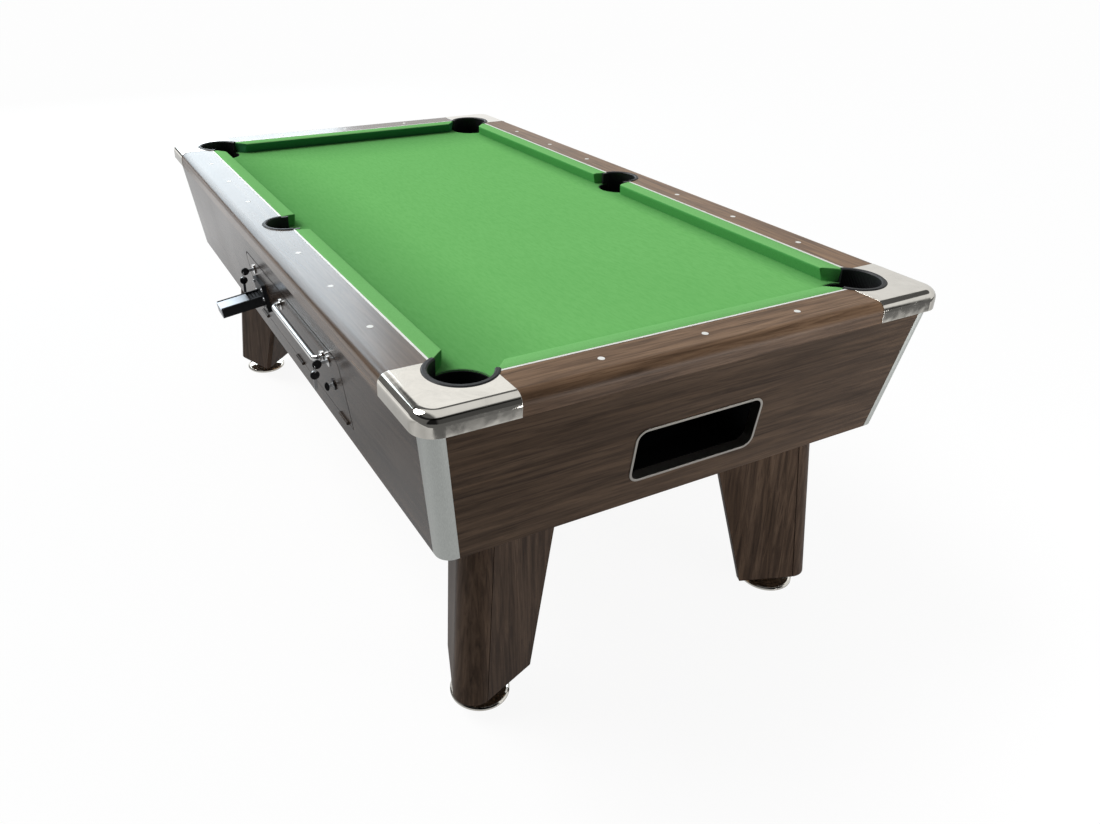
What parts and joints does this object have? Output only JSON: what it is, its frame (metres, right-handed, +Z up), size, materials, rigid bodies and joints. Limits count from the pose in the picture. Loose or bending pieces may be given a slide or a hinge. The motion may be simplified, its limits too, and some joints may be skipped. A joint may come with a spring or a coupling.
{
  "type": "coin-operated pool table",
  "caption": "Coin-operated pool table with leaning panelled cabinet, wedge legs, pockets that return balls to a front window, and a coin slide in a drop-down side door.",
  "frame": {"origin": "on the floor, midway between the four feet", "axes": "+Y along the table towards the rear, +Z up, -X towards the coin side, -Y towards the ball window"},
  "size_m": [1.2722, 2.0948, 0.8085],
  "materials": {
    "walnut_laminate": "satin clear-coated walnut laminate",
    "leg_laminate": "satin walnut laminate, grain upright",
    "raw_timber": "bare board",
    "slate": "honed grey slate",
    "bed_cloth": "green napped wool cloth",
    "cushion_rubber": "rubber under stretched green cloth",
    "white_plastic": "white plastic",
    "chrome": "polished plate",
    "satin_aluminium": "satin anodised",
    "black_plastic": "black moulded plastic",
    "run_plastic": "black moulded plastic",
    "steel": "plain steel",
    "coin_metal": "black painted die casting",
    "key_plastic": "black moulded head on a steel blade"
  },
  "bodies": {
    "cabinet": {"front_panel": "walnut_laminate", "rear_panel": "walnut_laminate", "coin_side_panel": "walnut_laminate", "plain_side_panel": "walnut_laminate", "rail_coin_side": "walnut_laminate", "rail_plain_side": "walnut_laminate", "rail_front": "walnut_laminate", "rail_rear": "walnut_laminate", "leg_front_coin": "leg_laminate", "leg_front_plain": "leg_laminate", "leg_rear_coin": "leg_laminate", "leg_rear_plain": "leg_laminate", "cabinet_floor": "raw_timber", "cabinet_framing": "raw_timber", "slate_bed": "slate", "bed_cloth": "bed_cloth", "cushion_front": "cushion_rubber", "cushion_rear": "cushion_rubber", "cushion_plain_rear": "cushion_rubber", "cushion_plain_front": "cushion_rubber", "cushion_coin_rear": "cushion_rubber", "cushion_coin_front": "cushion_rubber", "trim_strips": "white_plastic", "sight_dots": "white_plastic", "casting_front_coin": "chrome", "casting_front_plain": "chrome", "casting_rear_coin": "chrome", "casting_rear_plain": "chrome", "window_frame": "chrome", "corner_posts": "satin_aluminium", "pocket_liner_front_coin": "black_plastic", "pocket_liner_front_plain": "black_plastic", "pocket_liner_rear_coin": "black_plastic", "pocket_liner_rear_plain": "black_plastic", "pocket_liner_mid_plain": "black_plastic", "pocket_liner_mid_coin": "black_plastic", "return_runs": "run_plastic", "return_tray": "run_plastic", "leg_bolts": "steel", "cabinet_hinge_leaves": "steel", "release_brackets": "steel"},
    "door": {"access_door": "walnut_laminate", "door_hinge_leaves": "steel", "coin_housing": "coin_metal", "door_handle": "chrome", "lock_barrels": "steel"},
    "coin_slide": {"coin_slide": "coin_metal", "coin_slide_plate": "steel"},
    "release_shaft": {"release_shaft": "steel"},
    "ball_gate": {"ball_gate": "steel"},
    "lock_1": {"lock_key_1": "key_plastic"},
    "lock_2": {"lock_key_2": "key_plastic"},
    "lock_3": {"lock_key_3": "key_plastic"},
    "spare_1": {"spare_key_1": "key_plastic"},
    "spare_2": {"spare_key_2": "key_plastic"},
    "foot_front_coin": {"foot_front_coin": "chrome"},
    "foot_front_plain": {"foot_front_plain": "chrome"},
    "foot_rear_coin": {"foot_rear_coin": "chrome"},
    "foot_rear_plain": {"foot_rear_plain": "chrome"}
  },
  "joints": [
    {"name": "door_hinge", "type": "hinge", "parent": "cabinet", "child": "door", "pos_m": [-0.5475, 0, 0.52486], "axis": [0, -1, 0], "range_deg": [0, 90]},
    {"name": "coin_slide_push", "type": "slide", "parent": "door", "child": "coin_slide", "axis": [0.9893, 0, 0.1457], "range_m": [0, 0.06], "stiffness_N_per_m": 150},
    {"name": "release_shaft_turn", "type": "hinge", "parent": "cabinet", "child": "release_shaft", "pos_m": [-0.42113, 0, 0.522], "axis": [0, 1, 0], "range_deg": [0, 34.4]},
    {"name": "ball_gate_slide", "type": "slide", "parent": "cabinet", "child": "ball_gate", "axis": [1, 0, 0], "range_m": [0, 0.06779]},
    {"name": "lock_1_turn", "type": "hinge", "parent": "door", "child": "lock_1", "pos_m": [-0.56547, 0.118, 0.65715], "axis": [0.9893, 0, 0.1457], "range_deg": [0, 90]},
    {"name": "lock_2_turn", "type": "hinge", "parent": "door", "child": "lock_2", "pos_m": [-0.56547, -0.493, 0.65715], "axis": [-0.9893, 0, -0.1457], "range_deg": [0, 90]},
    {"name": "lock_3_turn", "type": "hinge", "parent": "door", "child": "lock_3", "pos_m": [-0.55702, -0.493, 0.59977], "axis": [-0.9893, 0, -0.1457], "range_deg": [0, 180]},
    {"name": "spare_1_swing", "type": "hinge", "parent": "lock_1", "child": "spare_1", "pos_m": [-0.59633, 0.118, 0.65261], "axis": [0, 1, 0], "range_deg": [-10, 80]},
    {"name": "spare_2_swing", "type": "hinge", "parent": "lock_2", "child": "spare_2", "pos_m": [-0.59633, -0.493, 0.65261], "axis": [0, 1, 0], "range_deg": [-10, 80]},
    {"name": "foot_front_coin_turn", "type": "hinge", "parent": "cabinet", "child": "foot_front_coin", "pos_m": [-0.40447, -0.87267, 0], "axis": [0, 0, 1], "continuous": true},
    {"name": "foot_front_plain_turn", "type": "hinge", "parent": "cabinet", "child": "foot_front_plain", "pos_m": [0.40447, -0.87267, 0], "axis": [0, 0, 1], "continuous": true},
    {"name": "foot_rear_coin_turn", "type": "hinge", "parent": "cabinet", "child": "foot_rear_coin", "pos_m": [-0.40447, 0.87267, 0], "axis": [0, 0, 1], "continuous": true},
    {"name": "foot_rear_plain_turn", "type": "hinge", "parent": "cabinet", "child": "foot_rear_plain", "pos_m": [0.40447, 0.87267, 0], "axis": [0, 0, 1], "continuous": true}
  ],
  "couplings": [
    {"joint": "release_shaft_turn", "follows": "coin_slide_push", "rad_per_m": 10.007},
    {"joint": "ball_gate_slide", "follows": "coin_slide_push", "ratio": 1.1299}
  ]
}
